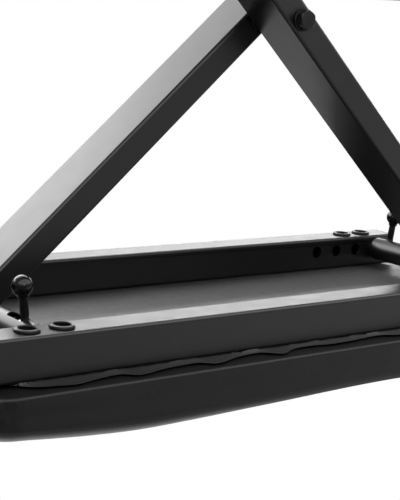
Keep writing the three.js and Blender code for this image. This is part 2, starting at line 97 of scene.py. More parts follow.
def add_camera():
    look = Vector((math.sin(FIT_YAW) * math.cos(FIT_PITCH), math.cos(FIT_YAW) * math.cos(FIT_PITCH),
                   -math.sin(FIT_PITCH)))
    side = Vector((math.cos(FIT_YAW), -math.sin(FIT_YAW), 0))
    above = side.cross(look)
    right = from_fit(math.cos(FIT_ROLL) * side - math.sin(FIT_ROLL) * above)
    up = from_fit(math.sin(FIT_ROLL) * side + math.cos(FIT_ROLL) * above)
    back = -from_fit(look)
    data = bpy.data.cameras.new("photo_camera")
    data.sensor_fit = "VERTICAL"
    data.sensor_height = SENSOR_HEIGHT
    data.lens = SENSOR_HEIGHT * FOCAL_PIXELS / PHOTO_HEIGHT
    data.clip_start, data.clip_end = 0.01, 100
    camera = bpy.data.objects.new("photo_camera", data)
    bpy.context.collection.objects.link(camera)
    place = Matrix((right, up, back)).transposed().to_4x4()
    place.translation = from_fit(FIT_EYE) + FIT_ORIGIN
    camera.matrix_world = place
    bpy.context.scene.camera = camera


add_camera()


# Materials
def grey(level):
    return level, level, level


def shader_of(material):
    return material.node_tree.nodes["Principled BSDF"]


def new_material(name, base, roughness, metallic=0.0, **sockets):
    material = bpy.data.materials.new(name)
    material.use_nodes = True
    shader = shader_of(material)
    shader.inputs["Base Color"].default_value = (*base, 1)
    shader.inputs["Roughness"].default_value = roughness
    shader.inputs["Metallic"].default_value = metallic
    for socket, value in sockets.items():
        shader.inputs[socket.replace("_", " ")].default_value = value
    return material


def add_node(owner, kind, **values):
    """Adds a node to a material or the world, and sets its sockets, or else its settings, by name."""
    node = owner.node_tree.nodes.new(kind)
    for key, value in values.items():
        if key in node.inputs:
            node.inputs[key].default_value = value
        else:
            setattr(node, key, value)
    return node


def wire(owner, start, end):
    owner.node_tree.links.new(start, end)


def axes(owner, coordinates):
    """The three parts of a texture coordinate."""
    where = add_node(owner, "ShaderNodeTexCoord")
    split = add_node(owner, "ShaderNodeSeparateXYZ")
    wire(owner, where.outputs[coordinates], split.inputs[0])
    return split.outputs


def ramp(owner, value, start, end, first, last):
    """Goes from first to last while the value goes from start to end, and stays at them outside."""
    node = add_node(owner, "ShaderNodeMapRange",
                    **{"From Min": start, "From Max": end, "To Min": first, "To Max": last})
    wire(owner, value, node.inputs["Value"])
    return node.outputs["Result"]


def place_texture(material, texture, stretch=(1, 1, 1)):
    """Lays a texture in the object's own coordinates, so that its scale is in turns per metre."""
    where = add_node(material, "ShaderNodeTexCoord")
    mapping = add_node(material, "ShaderNodeMapping")
    mapping.inputs["Scale"].default_value = stretch
    wire(material, where.outputs["Object"], mapping.inputs["Vector"])
    wire(material, mapping.outputs["Vector"], texture.inputs["Vector"])
    return texture


COLOUR_SOCKETS = (6, 7, 2)  # the two inputs and the output of a Mix node that mixes colours


def vary(material, socket, texture, low, high):
    """Drives a socket between two values, or two colours, with a texture's grey."""
    colour = isinstance(low, tuple)
    mix = add_node(material, "ShaderNodeMix", data_type="RGBA" if colour else "FLOAT")
    a, b, out = COLOUR_SOCKETS if colour else (2, 3, 0)
    mix.inputs[a].default_value = (*low, 1) if colour else low
    mix.inputs[b].default_value = (*high, 1) if colour else high
    wire(material, texture.outputs[0], mix.inputs[0])
    wire(material, mix.outputs[out], shader_of(material).inputs[socket])


def bump(material, layers):
    """Adds bumps from (texture, depth in metres, strength), each on top of the last."""
    last = None
    for texture, depth, strength in layers:
        node = add_node(material, "ShaderNodeBump", Strength=strength, Distance=depth)
        wire(material, texture.outputs[0], node.inputs["Height"])
        if last:
            wire(material, last.outputs["Normal"], node.inputs["Normal"])
        last = node
    wire(material, last.outputs["Normal"], shader_of(material).inputs["Normal"])


def noise(material, scale, detail=3.0, stretch=(1, 1, 1)):
    return place_texture(material, add_node(material, "ShaderNodeTexNoise", Scale=scale, Detail=detail), stretch)


def cells(material, scale):
    return place_texture(material, add_node(material, "ShaderNodeTexVoronoi", Scale=scale))


def satin_paint():
    """Black powder coat: fine orange peel over a satin skin, with faint broad unevenness."""
    material = new_material("satin_black_paint", (0.003, 0.003, 0.0033), 0.33, Specular_IOR_Level=0.5)
    vary(material, "Base Color", noise(material, 35), (0.002, 0.002, 0.0022), (0.004, 0.004, 0.0044))
    vary(material, "Roughness", noise(material, 60, 5), 0.28, 0.38)
    bump(material, [(noise(material, 900, 2), 0.00008, 0.06), (noise(material, 90, 2), 0.0006, 0.012)])
    return material


def black_oxide():
    """Dark oiled steel, a little uneven."""
    material = new_material("black_oxide_steel", (0.007, 0.007, 0.0072), 0.3, 0.2, Specular_IOR_Level=0.3)
    vary(material, "Roughness", noise(material, 300, 4), 0.22, 0.4)
    vary(material, "Base Color", noise(material, 120), (0.005, 0.005, 0.0052), (0.012, 0.012, 0.0122))
    bump(material, [(noise(material, 1500, 2), 0.0001, 0.3)])
    return material


def zinc():
    """Zinc plated steel with fine marks of turning."""
    material = new_material("zinc_steel", (0.55, 0.56, 0.57), 0.3, 1.0)
    vary(material, "Base Color", noise(material, 200), (0.45, 0.46, 0.47), (0.62, 0.62, 0.63))
    vary(material, "Roughness", noise(material, 500, 4, (1, 8, 1)), 0.22, 0.42)
    bump(material, [(noise(material, 1600, 2, (1, 12, 1)), 0.00005, 0.3)])
    return material


def spring_wire():
    """Dark oiled spring wire."""
    material = new_material("dark_spring_wire", grey(0.03), 0.4, 1.0)
    vary(material, "Base Color", noise(material, 260), grey(0.02), (0.045, 0.045, 0.044))
    vary(material, "Roughness", noise(material, 500, 4), 0.32, 0.5)
    bump(material, [(noise(material, 1600, 2), 0.00005, 0.3)])
    return material


def moulded_plastic():
    """Matt black plastic with the fine spark finish of its mould."""
    material = new_material("black_moulded_plastic", grey(0.004), 0.32, Specular_IOR_Level=0.3)
    vary(material, "Base Color", noise(material, 150), grey(0.003), grey(0.006))
    vary(material, "Roughness", noise(material, 400), 0.27, 0.38)
    bump(material, [(noise(material, 2600, 2), 0.00006, 0.25)])
    return material


def gloss_knob():
    material = new_material("gloss_black_knob", grey(0.002), 0.14, Specular_IOR_Level=0.38)
    vary(material, "Roughness", noise(material, 250, 4), 0.11, 0.18)
    bump(material, [(noise(material, 300, 2), 0.00008, 0.1)])
    return material


def foot_rubber():
    material = new_material("black_rubber", grey(0.016), 0.72)
    vary(material, "Base Color", noise(material, 90, 5), grey(0.012), (0.03, 0.03, 0.029))
    vary(material, "Roughness", noise(material, 200), 0.62, 0.85)
    bump(material, [(noise(material, 1400, 3), 0.00012, 0.4)])
    return material


def vinyl():
    """Upholstery vinyl: small pebbled grain under a soft sheen."""
    material = new_material("black_vinyl", grey(0.004), 0.43, Specular_IOR_Level=0.3)
    vary(material, "Base Color", noise(material, 22, 4), grey(0.003), grey(0.006))
    vary(material, "Roughness", noise(material, 70, 4), 0.36, 0.5)
    bump(material, [
        (cells(material, 750), 0.00022, 0.32),
        (noise(material, 260, 5), 0.0003, 0.18),
        (noise(material, 30, 3), 0.0015, 0.1),
    ])
    return material


def backing_cloth():
    """Thin dark cloth, a little uneven where it is stretched, with painted shade turning its hem outside the rails
    near black.
    """
    material = new_material("underside_cloth", grey(0.033), 0.45, Specular_IOR_Level=0.5)
    vary(material, "Base Color", noise(material, 55, 5), grey(0.027), (0.04, 0.04, 0.039))
    # Painted shade: past the rails' outer faces the base colour goes near black, for the shade the hem lies in beside
    # the rails.
    across = add_node(material, "ShaderNodeMath", operation="ABSOLUTE")
    wire(material, axes(material, "Object")["Y"], across.inputs[0])
    hem_shade_mix = add_node(material, "ShaderNodeMix", data_type="RGBA")
    wire(material, ramp(material, across.outputs[0], RAIL_FACE - 0.0005, RAIL_FACE + 0.0015, 0, 1), hem_shade_mix.inputs[0])
    cloth, hem, out = COLOUR_SOCKETS
    colour = shader_of(material).inputs["Base Color"]
    wire(material, colour.links[0].from_socket, hem_shade_mix.inputs[cloth])
    hem_shade_mix.inputs[hem].default_value = (*grey(0.008), 1)
    wire(material, hem_shade_mix.outputs[out], colour)
    vary(material, "Roughness", noise(material, 120, 4), 0.4, 0.55)
    bump(material, [
        (noise(material, 900, 3), 0.00015, 0.3),
        (noise(material, 45, 4, (0.5, 1.6, 1)), 0.0012, 0.25),
    ])
    return material


def plywood():
    material = new_material("birch_plywood", (0.55, 0.4, 0.24), 0.6)
    grain = noise(material, 40, 6, (0.25, 6, 30))
    vary(material, "Base Color", grain, (0.42, 0.28, 0.15), (0.66, 0.5, 0.32))
    bump(material, [(grain, 0.0003, 0.3)])
    return material


def open_foam():
    material = new_material("seat_foam", (0.5, 0.46, 0.34), 0.95)
    vary(material, "Base Color", noise(material, 90, 5), (0.44, 0.4, 0.29), (0.56, 0.52, 0.4))
    bump(material, [(cells(material, 900), 0.0006, 0.8)])
    return material


looks = {
    "satin_black_steel": satin_paint(),
    "black_oxide_steel": black_oxide(),
    "zinc_steel": zinc(),
    "black_plastic": moulded_plastic(),
    "gloss_knob": gloss_knob(),
    "foot_rubber": foot_rubber(),
    "cover_vinyl": vinyl(),
    "underside_cloth": backing_cloth(),
    "board_wood": plywood(),
    "foam_block": open_foam(),
    "spring_wire": spring_wire(),
}


def dress(obj, look):
    obj.data.materials.clear()
    obj.data.materials.append(looks[look])
    return obj


def smooth(obj, degrees=35):
    """Smooths the faces and keeps the edges sharper than an angle."""
    mesh = obj.data
    for face in mesh.polygons:
        face.use_smooth = True
    mesh.set_sharp_from_angle(angle=math.radians(degrees))
    return obj


for row in frame["record"]["subparts"]:
    dress(nodes[row["node"]], row["material_slot"])


# Building pieces
def from_bmesh(name, mesh_maker, degrees=35):
    mesh = bpy.data.meshes.new(name)
    bm = bmesh.new()
    mesh_maker(bm)
    bmesh.ops.recalc_face_normals(bm, faces=bm.faces)
    bm.to_mesh(mesh)
    bm.free()
    obj = bpy.data.objects.new(name, mesh)
    bpy.context.collection.objects.link(obj)
    return smooth(obj, degrees)


def add_detail(obj, body, look):
    dress(obj, look)
    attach(obj, body)


def stand_for(obj, node, body, look):
    """Puts a finished piece in the place of one CAD node, or of several."""
    add_detail(obj, body, look)
    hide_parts(*([node] if isinstance(node, str) else node))


def place(obj, matrix):
    """Moves a mesh's own points, so that the piece's object stays at the origin."""
    obj.data.transform(matrix)
    return obj


def bridge(bm, rings):
    """Joins each ring of vertices to the next with faces."""
    for low, high in zip(rings, rings[1:]):
        for k in range(len(low)):
            j = (k + 1) % len(low)
            bm.faces.new((low[k], low[j], high[j], high[k]))


def reach(node):
    """How near to the middle plane a node comes, and how far from it."""
    low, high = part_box(node)
    return sorted((abs(low[1]), abs(high[1])))


def lathe(bm, profile, sides=64):
    """Turns (radius, height) pairs round Z. A pair at radius 0 is a point on the axis."""
    rings = []
    for radius, height in profile:
        if radius < 1e-7:
            rings.append([bm.verts.new((0, 0, height))])
            continue
        angles = [2 * math.pi * k / sides for k in range(sides)]
        rings.append([bm.verts.new((radius * math.cos(a), radius * math.sin(a), height)) for a in angles])
    for low, high in zip(rings, rings[1:]):
        for k in range(sides):
            j = (k + 1) % sides
            ring = [low[k % len(low)], low[j % len(low)], high[j % len(high)], high[k % len(high)]]
            corners = list(dict.fromkeys(ring))
            if len(corners) > 2:
                bm.faces.new(corners)


def arc(cx, cz, radius, start, end, steps):
    """Points of an outline along an arc, in degrees from its first axis."""
    points = []
    for k in range(steps + 1):
        angle = math.radians(start + (end - start) * k / steps)
        points.append((cx + radius * math.cos(angle), cz + radius * math.sin(angle)))
    return points


def spin(name, profile, sides=64, degrees=35):
    """A turned piece. A closed profile ends where it starts; an open one starts and ends on the axis."""
    def make(bm):
        lathe(bm, profile, sides)
        bmesh.ops.remove_doubles(bm, verts=bm.verts, dist=1e-7)
    return from_bmesh(name, make, degrees)


def turned(node, profile, matrix, body, look, sides=64, degrees=35):
    """Puts a turned piece in the place of a CAD node."""
    stand_for(place(spin(f"{node}_finish", profile, sides, degrees), matrix), node, body, look)


def rod(bm, path, radius, sides=10, closed=False):
    """A solid round rod along a path of points. radius may be a number or one for each point."""
    path = [Vector(p) for p in path]
    count = len(path)
    radii = radius if hasattr(radius, "__len__") else [radius] * count
    normal = None
    rings = []
    for i, point in enumerate(path):
        ahead = path[(i + 1) % count] if closed or i + 1 < count else point
        behind = path[i - 1] if closed or i > 0 else point
        tangent = (ahead - behind).normalized()
        if normal is None:
            normal = tangent.orthogonal().normalized()
        normal = (normal - tangent * normal.dot(tangent)).normalized()
        side = tangent.cross(normal)
        ring = []
        for k in range(sides):
            angle = 2 * math.pi * k / sides
            offset = (normal * math.cos(angle) + side * math.sin(angle)) * radii[i]
            ring.append(bm.verts.new(point + offset))
        rings.append(ring)
    bridge(bm, rings + rings[:1] if closed else rings)
    if not closed:
        bm.faces.new(rings[0])
        bm.faces.new(rings[-1])


def cut_away(obj, cutters):
    """Cuts other meshes out of a piece for good."""
    for cutter in cutters:
        modifier = obj.modifiers.new("cut", "BOOLEAN")
        modifier.operation = "DIFFERENCE"
        modifier.solver = "EXACT"
        modifier.object = cutter
    keep_modified(obj)
    for cutter in cutters:
        bpy.data.objects.remove(cutter, do_unlink=True)
    return obj


def keep_modified(obj):
    """Makes a piece's modifiers part of its mesh."""
    graph = bpy.context.evaluated_depsgraph_get()
    mesh = bpy.data.meshes.new_from_object(obj.evaluated_get(graph))
    old = obj.data
    obj.modifiers.clear()
    obj.data = mesh
    mesh.name = obj.name
    bpy.data.meshes.remove(old)
    return obj


def bevelled(obj, width):
    """Breaks the edges over an angle, and keeps what is sharper than it sharp."""
    sharp = 40
    modifier = obj.modifiers.new("edges", "BEVEL")
    modifier.width = width
    modifier.segments = 3
    modifier.limit_method = "ANGLE"
    modifier.angle_limit = math.radians(sharp)
    return smooth(keep_modified(obj), sharp)


TO_FRONT = Matrix.Rotation(math.radians(90), 4, "X")
TO_BACK = Matrix.Rotation(math.radians(-90), 4, "X")


def towards(side):
    """Turns +Z to point along Y, to the front for -1 and to the back for 1."""
    return TO_BACK if side > 0 else TO_FRONT


HANDS = (("front", -1), ("back", 1))
LEGS = (("a", 1, cross_a, foot_a), ("b", -1, cross_b, foot_b))


def tube_frame(leg_side, middle):
    """The frame of a cross tube, turned so that -Z is the way its levers lean."""
    return Matrix.Translation(middle) @ Matrix.Rotation(-leg_side * LEVER_LEAN, 4, "Y")


# Rails and leg tubes: rectangular tube with round corners, its holes and ends a little broken at the edge
BOX_WALL = 0.0015
BOX_CORNER = 0.003
BOLT_HOLES = (0.296, 0.266, 0.236, 0.206)  # |X| of the holes that the lock bolts go into
BOLT_HOLE_RADIUS = 0.0064
BOLT_HOLE_HEIGHT = 0.0145
SCREW_HOLES = (0.288, 0.258)  # |X| of the seat screws, and of the grommets under them
GROMMET_HOLE_RADIUS = 0.0084
SCREW_HOLE_RADIUS = 0.0027
WALL_DRILL = 0.006
TUBE_DRILL = 0.07


def box_outline(width, height, inset=0, bend=8):
    """(y, z) points round a rectangle with round corners."""
    radius = BOX_CORNER - inset
    y, z = width / 2 - inset - radius, height / 2 - inset - radius
    points = []
    for quarter, (side_y, side_z) in enumerate(((1, 1), (-1, 1), (-1, -1), (1, -1))):
        for k in range(bend + 1):
            angle = math.radians(90 * (quarter + k / bend))
            points.append((side_y * y + radius * math.cos(angle), side_z * z + radius * math.sin(angle)))
    return points


def box_tube(bm, low, high, width, height):
    """A hollow rectangular tube along X, centred on it."""
    loops = [[bm.verts.new((x, y, z)) for y, z in box_outline(width, height, inset)]
             for inset, x in ((0, low), (0, high), (BOX_WALL, high), (BOX_WALL, low))]
    bridge(bm, loops + loops[:1])


def drill(radius, length, matrix, sides=64):
    half = length / 2
    return place(spin("drill", [(0, -half), (radius, -half), (radius, half), (0, half)], sides), matrix)


def level(obj):
    """Lets the wide faces set the shading, so that flats stay flat beside their rounded edges."""
    obj.modifiers.new("level", "WEIGHTED_NORMAL").keep_sharp = True
    return obj


def rail(hand, side):
    node = f"rail_{hand}"
    low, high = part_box(node)
    middle = centre(node)
    width, height = high[1] - low[1], high[2] - low[2]
    piece = from_bmesh(f"{node}_finish", lambda bm: box_tube(bm, low[0], high[0], width, height))
    drills = []
    for end in (-1, 1):
        for x in BOLT_HOLES:
            spot = Matrix.Translation((end * x, -side * width / 2, BOLT_HOLE_HEIGHT - height / 2))
            drills.append(drill(BOLT_HOLE_RADIUS, WALL_DRILL, spot @ TO_BACK))
        for x in SCREW_HOLES:
            drills.append(drill(GROMMET_HOLE_RADIUS, WALL_DRILL, Matrix.Translation((end * x, 0, -height / 2))))
            drills.append(drill(SCREW_HOLE_RADIUS, WALL_DRILL, Matrix.Translation((end * x, 0, height / 2)), 32))
    cut_away(piece, drills)
    bevelled(piece, 0.00035)
    place(piece, Matrix.Translation((0, middle.y, middle.z)))
    stand_for(level(piece), node, "seat", "satin_black_steel")


CAP_FLANGE = 0.0025
PLUG_ROOM = 0.0036  # how much smaller than the rail its plug is


def rail_cap(hand, end):
    """The flange over a rail's end, its rim rounded, with its hollow plug inside the rail."""
    node = f"rail_cap_{hand}_{'right' if end > 0 else 'left'}"
    low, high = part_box(node)
    middle = centre(node)
    width, height = high[1] - low[1], high[2] - low[2]
    plug_end, outer_face = (low[0], high[0])[::end]
    inner_face = outer_face - end * CAP_FLANGE

    def make(bm):
        loops = []
        for inset, depth in ((0.002, CAP_FLANGE), (0, CAP_FLANGE), (0, 0.0009), (0.00026, 0.00035), (0.0009, 0),
                             (0.002, 0.00002)):
            x = outer_face - end * depth
            loops.append([bm.verts.new((x, y, z)) for y, z in box_outline(width, height, inset)])
        bridge(bm, loops)
        bm.faces.new(loops[0])
        bm.faces.new(loops[-1])
        box_tube(bm, *sorted((plug_end, inner_face)), width - PLUG_ROOM, height - PLUG_ROOM)

    piece = place(from_bmesh(f"{node}_finish", make), Matrix.Translation((0, middle.y, middle.z)))
    stand_for(level(piece), node, "seat", "black_plastic")


# Round tubes: the cross tubes have slots that the levers slide in
TUBE_RADIUS = 0.0125
TUBE_WALL = 0.0015
RING_STEP = 0.0025
SLOT_HALF_WIDTH = 0.0041
SLOT_TRAVEL = 0.02


def round_tube(name, half, sides, ringed=False):
    """A hollow tube along Z, its ends a little broken, with rings along it where a cut needs them."""
    outer, inner, lip = TUBE_RADIUS, TUBE_RADIUS - TUBE_WALL, 0.0004
    start = [(inner, -half + lip), (inner + lip, -half), (outer - lip, -half), (outer, -half + lip)]
    between = [(outer, -half + RING_STEP * k) for k in range(1, math.floor(2 * half / RING_STEP)) if ringed]
    profile = start + between + [(radius, -height) for radius, height in reversed(start)]
    return spin(name, profile + profile[:1], sides)


def cross_tube(leg, leg_side, middle):
    piece = place(round_tube(f"cross_tube_{leg}_finish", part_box(f"cross_tube_{leg}")[1][1], 96, True), TO_BACK)
    cutters = []
    for _, side in HANDS:
        stem_y = centre(f"lever_stem_{leg}_front").y * -side
        first, last = sorted((stem_y, stem_y - side * SLOT_TRAVEL))
        outline = arc(0, last, SLOT_HALF_WIDTH, 0, 180, 32) + arc(0, first, SLOT_HALF_WIDTH, 180, 360, 32)

        def slot_shape(bm, outline=outline):
            rings = [[bm.verts.new((x, y, z)) for x, y in outline] for z in (-0.02, -0.004)]
            for ring in rings:
                bm.faces.new(ring)
            bridge(bm, rings)

        cutters.append(from_bmesh("slot_cutter", slot_shape))
    smooth(cut_away(piece, cutters), 50)
    place(piece, tube_frame(leg_side, middle))
    stand_for(level(piece), f"cross_tube_{leg}", f"leg_{leg}", "satin_black_steel")


# Lock bolts, levers and knobs
def lock_bolt(leg, leg_side, middle, hand, side):
    tail, tip = reach(f"lock_bolt_{leg}_{hand}")
    shoulder = tail + 0.024
    body, pin, chamfer, nose = 0.0106, 0.006, 0.0012, 0.0018
    profile = [(0, tail), (body - chamfer, tail), (body, tail + chamfer)]
    profile += [(body, shoulder - chamfer), (body - chamfer, shoulder), (pin, shoulder), (pin, tip - nose)]
    profile += arc(pin - nose, tip - nose, nose, 0, 90, 6) + [(0, tip)]
    here = tube_frame(leg_side, middle) @ towards(side)
    turned(f"lock_bolt_{leg}_{hand}", profile, here, f"lock_{leg}_{hand}", "zinc_steel")


def lever(leg, leg_side, middle, hand, side):
    stem_y = side * abs(centre(f"lever_stem_{leg}_{hand}").y)
    here = tube_frame(leg_side, middle) @ Matrix.Translation((0, stem_y, 0))
    radius, waist, knob_at = 0.0036, 0.00315, 0.0395
    stem = [(0, -knob_at - 0.003), (radius - 0.0004, -knob_at - 0.003), (radius, -knob_at - 0.0026)]
    stem += [(radius, -0.0155), (waist, -0.0148), (waist, -0.0128), (radius, -0.012)]
    stem += [(radius, -0.006), (radius, -0.0003), (0, -0.0003)]
    turned(f"lever_stem_{leg}_{hand}", stem, here, f"lock_{leg}_{hand}", "black_oxide_steel", 48)
    ball, neck, bore = 0.0085, 0.0046, radius + 0.0002
    neck_turn = math.degrees(math.acos((neck + 0.0006) / ball))
    knob = [(0, -ball)] + arc(0, 0, ball, -89, neck_turn, 40) + [(neck, 0.0082), (neck, 0.0092)]
    knob += [(neck - 0.0005, 0.0098), (bore, 0.0098), (bore, -0.0033), (0, -0.0033)]
    ball_place = here @ Matrix.Translation((0, 0, -knob_at))
    turned(f"lever_knob_{leg}_{hand}", knob, ball_place, f"lock_{leg}_{hand}", "gloss_knob")


def bolt_spring(leg, leg_side, middle, hand, side):
    """A coil, shown as dark wire."""
    low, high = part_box(f"bolt_spring_{leg}_{hand}")
    wire_radius, turns = 0.0008, 9
    start, end = reach(f"bolt_spring_{leg}_{hand}")
    start, end = start + wire_radius, end - wire_radius
    coil = (high[0] - low[0]) / 2 - wire_radius
    steps = turns * 24
    path = []
    for k in range(steps + 1):
        share = k / steps
        angle = 2 * math.pi * turns * share
        path.append((coil * math.cos(angle), coil * math.sin(angle), start + (end - start) * share))
    piece = from_bmesh(f"bolt_spring_{leg}_{hand}_finish", lambda bm: rod(bm, path, wire_radius, 8), 80)
    place(piece, tube_frame(leg_side, middle) @ towards(side))
    stand_for(piece, f"bolt_spring_{leg}_{hand}", f"leg_{leg}", "zinc_steel")
    dress(piece, "spring_wire")
    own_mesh(piece)


# Grommets under the rails: a rounded flange with a raised lip round a chamfered hole
def grommet(hand, index):
    node = f"grommet_{hand}_{index}"
    low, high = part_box(node)
    middle = centre(node)
    flange, bore, top = 0.0102, 0.0068, high[2] - middle.z
    face = low[2] - middle.z
    seat = face + 0.0024
    profile = [(bore, top), (bore, face + 0.0011)] + arc(bore + 0.0009, face + 0.0009, 0.0009, 180, 255, 4)
    profile += [(bore + 0.0016, face + 0.0003), (flange - 0.0012, face + 0.0003)]
    profile += arc(flange - 0.0012, face + 0.0013, 0.001, -80, 0, 5)
    profile += [(flange, seat - 0.0001), (0.0081, seat), (0.0081, top - 0.0006), (0.0076, top), (bore, top)]
    turned(node, profile, Matrix.Translation(middle), "seat", "black_plastic", degrees=40)


# Pivot bolt and its nut, washer and spacer
HEX_ACROSS = 0.016
PIVOT_BORE = 0.0053


def hexagon(bm, low, high, ends):
    """A hexagonal prism along Z, the named ends turned to a round chamfered face."""
    sides, face_radius, slant = 96, 0.0077, math.tan(math.radians(30))
    rings = []
    for end, z in ((-1, low), (1, high)):
        flats, face = [], []
        for k in range(sides):
            angle = 2 * math.pi * k / sides
            flat = HEX_ACROSS / 2 / math.cos((angle + math.pi / 6) % (math.pi / 3) - math.pi / 6)
            drop = (flat - face_radius) * slant if end in ends else 0
            flats.append(bm.verts.new((flat * math.cos(angle), flat * math.sin(angle), z - end * drop)))
            face.append(bm.verts.new((face_radius * math.cos(angle), face_radius * math.sin(angle), z)))
        rings += [face, flats] if end < 0 else [flats, face]
    bridge(bm, rings)
    bm.faces.new(rings[0])
    bm.faces.new(rings[-1])


def pivot_hardware():
    here = Matrix.Translation((pivot.x, 0, pivot.z)) @ TO_BACK
    low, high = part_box("pivot_lock_nut")
    seat, collar = low[1], high[1]

    def nut(bm):
        hexagon(bm, seat, collar - 0.003, (-1, 1))
        profile = [(0, collar - 0.0032), (0.007, collar - 0.0032), (0.007, collar - 0.0012)]
        profile += arc(0.0058, collar - 0.0012, 0.0012, 0, 90, 5)
        profile += [(0.0056, collar), (0.0054, collar - 0.0012), (0, collar - 0.0012)]
        lathe(bm, profile, 48)

    piece = place(from_bmesh("pivot_lock_nut_finish", nut, 25), here)
    stand_for(piece, "pivot_lock_nut", "leg_a", "black_oxide_steel")
    low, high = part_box("pivot_bolt")
    head, base, tip = low[1], low[1] + 0.0064, high[1]

    def bolt(bm):
        hexagon(bm, head, base, (-1,))
        lathe(bm, [(0, base), (0.005, base), (0.005, tip - 0.001), (0.0041, tip), (0, tip)], 48)

    piece = place(from_bmesh("pivot_bolt_finish", bolt, 25), here)
    stand_for(piece, "pivot_bolt", "leg_a", "black_oxide_steel")
    for node, radius, look in (("pivot_washer", 0.01, "black_oxide_steel"), ("pivot_spacer", 0.0135, "black_plastic")):
        low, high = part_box(node)
        bore, near, far, edge = PIVOT_BORE, low[1], high[1], 0.0003
        profile = [(bore, near + edge), (bore + edge, near), (radius - edge, near), (radius, near + edge),
                   (radius, far - edge), (radius - edge, far), (bore + edge, far), (bore, far - edge)]
        turned(node, profile + profile[:1], here, "leg_a", look, 96)


for hand, side in HANDS:
    rail(hand, side)
    for end in (-1, 1):
        rail_cap(hand, end)
for leg, leg_side, middle, _ in LEGS:
    cross_tube(leg, leg_side, middle)
    for hand, side in HANDS:
        lock_bolt(leg, leg_side, middle, hand, side)
        lever(leg, leg_side, middle, hand, side)
        bolt_spring(leg, leg_side, middle, hand, side)
for hand, _ in HANDS:
    for index in range(1, 5):
        grommet(hand, index)
pivot_hardware()


# Leg tubes, coped to the round tubes, with weld beads where they meet them
leg_angle = math.atan2(cross_a.z - pivot.z, cross_a.x - pivot.x)
upper_arm = (cross_a - pivot).length
LEG_HALF_DEPTH, LEG_HALF_WIDTH = 0.02625, 0.013  # along Y, and across the leg
COPE_ROOM = 0.0003
LEVER_ROOM = 0.0005


def leg_frame(leg, leg_side):
    low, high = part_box(f"leg_tube_{leg}")
    turn = -leg_angle if leg_side > 0 else leg_angle - math.pi
    middle = Vector((pivot.x, (low[1] + high[1]) / 2, pivot.z))
    return Matrix.Translation(middle) @ Matrix.Rotation(turn, 4, "Y")


def leg_tube(leg, leg_side, lower_arm):
    node, trim, cope = f"leg_tube_{leg}", 0.005, TUBE_RADIUS + COPE_ROOM

    def make(bm):
        box_tube(bm, trim - lower_arm, upper_arm - trim, 2 * LEG_HALF_DEPTH, 2 * LEG_HALF_WIDTH)

    piece = from_bmesh(f"{node}_finish", make)
    cutters = [drill(cope, TUBE_DRILL, Matrix.Translation((x, 0, 0)) @ TO_BACK, 96) for x in (upper_arm, -lower_arm)]
    cut_away(piece, [*cutters, drill(PIVOT_BORE, TUBE_DRILL, TO_BACK)])
    bevelled(piece, 0.0003)
    place(piece, leg_frame(leg, leg_side))
    stand_for(level(piece), node, f"leg_{leg}", "satin_black_steel")


def weld_bead(leg, leg_side, end, arm):
    """A rippled bead where a leg meets a round tube, dressed flat at the sides, where a drawn lever comes close."""
    outline = box_outline(2 * LEG_HALF_DEPTH, 2 * LEG_HALF_WIDTH, bend=6)
    trim, sink, spread, radius, step = 0.0046, 0.0004, 1.012, 0.0019, 0.0009
    dense = []
    for (y0, z0), (y1, z1) in zip(outline, outline[1:] + outline[:1]):
        steps = max(1, round(math.hypot(y1 - y0, z1 - z0) / step))
        dense += [(y0 + (y1 - y0) * i / steps, z0 + (z1 - z0) * i / steps) for i in range(steps)]
    path, radii = [], []
    for i, (y, z) in enumerate(dense):
        drop = math.sqrt(max(TUBE_RADIUS ** 2 - z * z, 0))
        x = min(arm - drop, arm - trim) - sink
        path.append((end * x, y * spread, z * spread))
        radii.append(radius * (1 + 0.13 * math.sin(i * 1.15) + 0.05 * math.sin(i * 0.37)))
    name = f"weld_{leg}_{'upper' if end > 0 else 'lower'}"
    piece = from_bmesh(name, lambda bm: rod(bm, path, radii, closed=True), 80)
    for vertex in piece.data.vertices:
        vertex.co.y = math.copysign(min(abs(vertex.co.y), LEG_HALF_DEPTH + LEVER_ROOM), vertex.co.y)
    place(piece, leg_frame(leg, leg_side))
    add_detail(piece, f"leg_{leg}", "satin_black_steel")


def foot(leg, middle):
    """The bar across a leg's lower end, with its ribbed rubber caps, which end at the floor."""
    bar = round_tube(f"foot_bar_{leg}_finish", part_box(f"foot_bar_{leg}")[1][1], 64)
    place(bar, Matrix.Translation(middle) @ TO_BACK)
    stand_for(bar, f"foot_bar_{leg}", f"leg_{leg}", "satin_black_steel")
    for hand, side in HANDS:
        mouth, crown = reach(f"foot_cap_{leg}_{hand}")
        inner, outer = 0.0127, 0.0158
        profile = [(0, crown - 0.003), (inner, crown - 0.003), (inner, mouth + 0.0006), (inner + 0.0006, mouth)]
        profile += [(outer - 0.0012, mouth), (outer - 0.0003, mouth + 0.0006), (outer - 0.0003, mouth + 0.004)]
        for k in range(4):
            groove = mouth + 0.005 + 0.0034 * k
            profile += [(outer, groove), (outer, groove + 0.002), (outer - 0.0007, groove + 0.0024),
                        (outer - 0.0007, groove + 0.0029)]
        profile += [(outer, mouth + 0.0195)] + arc(outer - 0.0022, crown - 0.0022, 0.0022, 0, 90, 6)
        profile += [(0.011, crown), (0.0104, crown - 0.0005), (0, crown - 0.0005)]
        cap = spin(f"foot_cap_{leg}_{hand}_finish", profile, 72, 30)
        place(cap, Matrix.Translation(Vector((middle.x, 0, middle.z))) @ towards(side))
        for vertex in cap.data.vertices:
            vertex.co.z = max(vertex.co.z, 0)
        stand_for(cap, f"foot_cap_{leg}_{hand}", f"leg_{leg}", "foot_rubber")


for leg, leg_side, _, low_end in LEGS:
    lower_arm = math.hypot(low_end.x - pivot.x, low_end.z - pivot.z)
    leg_tube(leg, leg_side, lower_arm)
    weld_bead(leg, leg_side, 1, upper_arm)
    weld_bead(leg, leg_side, -1, lower_arm)
    foot(leg, low_end)
